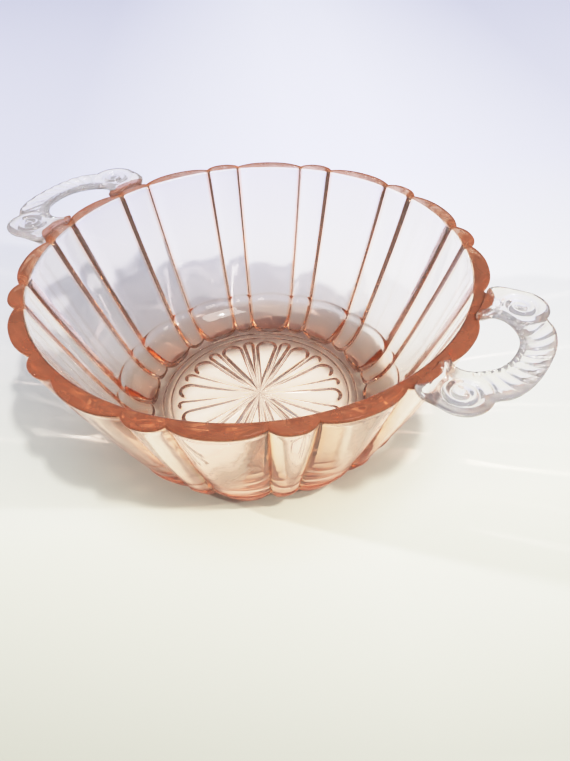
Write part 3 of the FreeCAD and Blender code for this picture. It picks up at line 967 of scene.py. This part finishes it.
KEY_AT = (1.1, -1.45, 3.0)
KEY_COLOUR = (1, 0.985, 0.95)
LIT = (0, 0, 0.03)  # the lamps point here
# name, place, size, watts, colour, and whether it throws focused light through the glass
LAMPS = (
    ("key_soft", KEY_AT, 1.4, 36.0, KEY_COLOUR, False),
    ("key_hard", KEY_AT, 0.16, 72.0, KEY_COLOUR, True),
    ("lamp_right", (1.2, -0.45, 0.6), 0.05, 11.0, (1, 0.98, 0.95), True),
    ("lamp_left", (-1.2, 0.1, 0.7), 0.05, 11.0, (1, 0.99, 0.98), True),
)


def area_light(name, place, size, power, colour, focused):
    """A square lamp aimed at the dish."""
    data = bpy.data.lights.new(name, "AREA")
    data.shape = "RECTANGLE"
    data.size = data.size_y = size
    data.energy = power
    data.color = colour
    data.cycles.is_caustics_light = focused
    obj = bpy.data.objects.new(name, data)
    bpy.context.scene.collection.objects.link(obj)
    spin = Matrix.Rotation(HANDLE_TURN, 3, "Z")
    obj.location = spin @ Vector(place)
    obj.rotation_mode = "QUATERNION"
    obj.rotation_quaternion = (spin @ Vector(LIT) - obj.location).to_track_quat("-Z", "Y")


CAMERA_ELEVATION = math.radians(32.43)
CAMERA_DISTANCE = 2.933  # in radii of the rim at its grooves
CAMERA_YAW = math.radians(2.31)
CAMERA_PITCH = math.radians(10.33)
CAMERA_ROLL = math.radians(4.23)
SENSOR = 36.0  # millimetres, as is the focal length
LENS = 31.0187


def camera():
    """The viewpoint: 32 degrees above the rim plane, 39 degrees round from the handles."""
    data = bpy.data.cameras.new("camera")
    obj = bpy.data.objects.new("camera", data)
    bpy.context.scene.collection.objects.link(obj)
    distance = CAMERA_DISTANCE * RIM_GROOVE * MM
    pos = distance * Vector((0, -math.cos(CAMERA_ELEVATION), math.sin(CAMERA_ELEVATION)))
    forward = -pos.normalized()
    right_axis = Vector((1, 0, 0))
    up = right_axis.cross(forward)
    turn = (
        Matrix.Rotation(CAMERA_ROLL, 3, "Z")
        @ Matrix.Rotation(CAMERA_PITCH, 3, "X")
        @ Matrix.Rotation(CAMERA_YAW, 3, "Y")
        @ Matrix((right_axis, up, -forward))
    )
    spin = Matrix.Rotation(HANDLE_TURN, 3, "Z")
    place = Matrix.Translation(spin @ pos + Vector((0, 0, RIM_Z * MM)))
    obj.matrix_world = place @ (spin @ turn.transposed()).to_4x4()
    data.sensor_width = SENSOR
    data.lens = LENS
    data.clip_start = 0.01
    bpy.context.scene.camera = obj


# how bright light is shown: nearly even up to a half, then leaning over so that white keeps detail
TONE = ((0.19, 0.165), (0.38, 0.36), (0.62, 0.59), (0.9, 0.775), (1.25, 0.885))
TONE_END = (1.9, 0.97)


def tone_and_light_paths():
    scene = bpy.context.scene
    scene.view_settings.view_transform = "Standard"
    scene.view_settings.use_curve_mapping = True
    tone = scene.view_settings.curve_mapping
    tone.clip_max_x = 2.0
    curve = tone.curves[3]
    curve.points[-1].location = TONE_END
    for light, shown in TONE:
        curve.points.new(light, shown)
    tone.update()
    scene.cycles.sample_clamp_indirect = 40
    scene.cycles.max_bounces = 24
    scene.cycles.transmission_bounces = 24
    scene.cycles.transparent_max_bounces = 32
    scene.cycles.glossy_bounces = 12
    scene.cycles.diffuse_bounces = 5


floor_plane()
world_light()
for lamp in LAMPS:
    area_light(*lamp)
camera()
tone_and_light_paths()
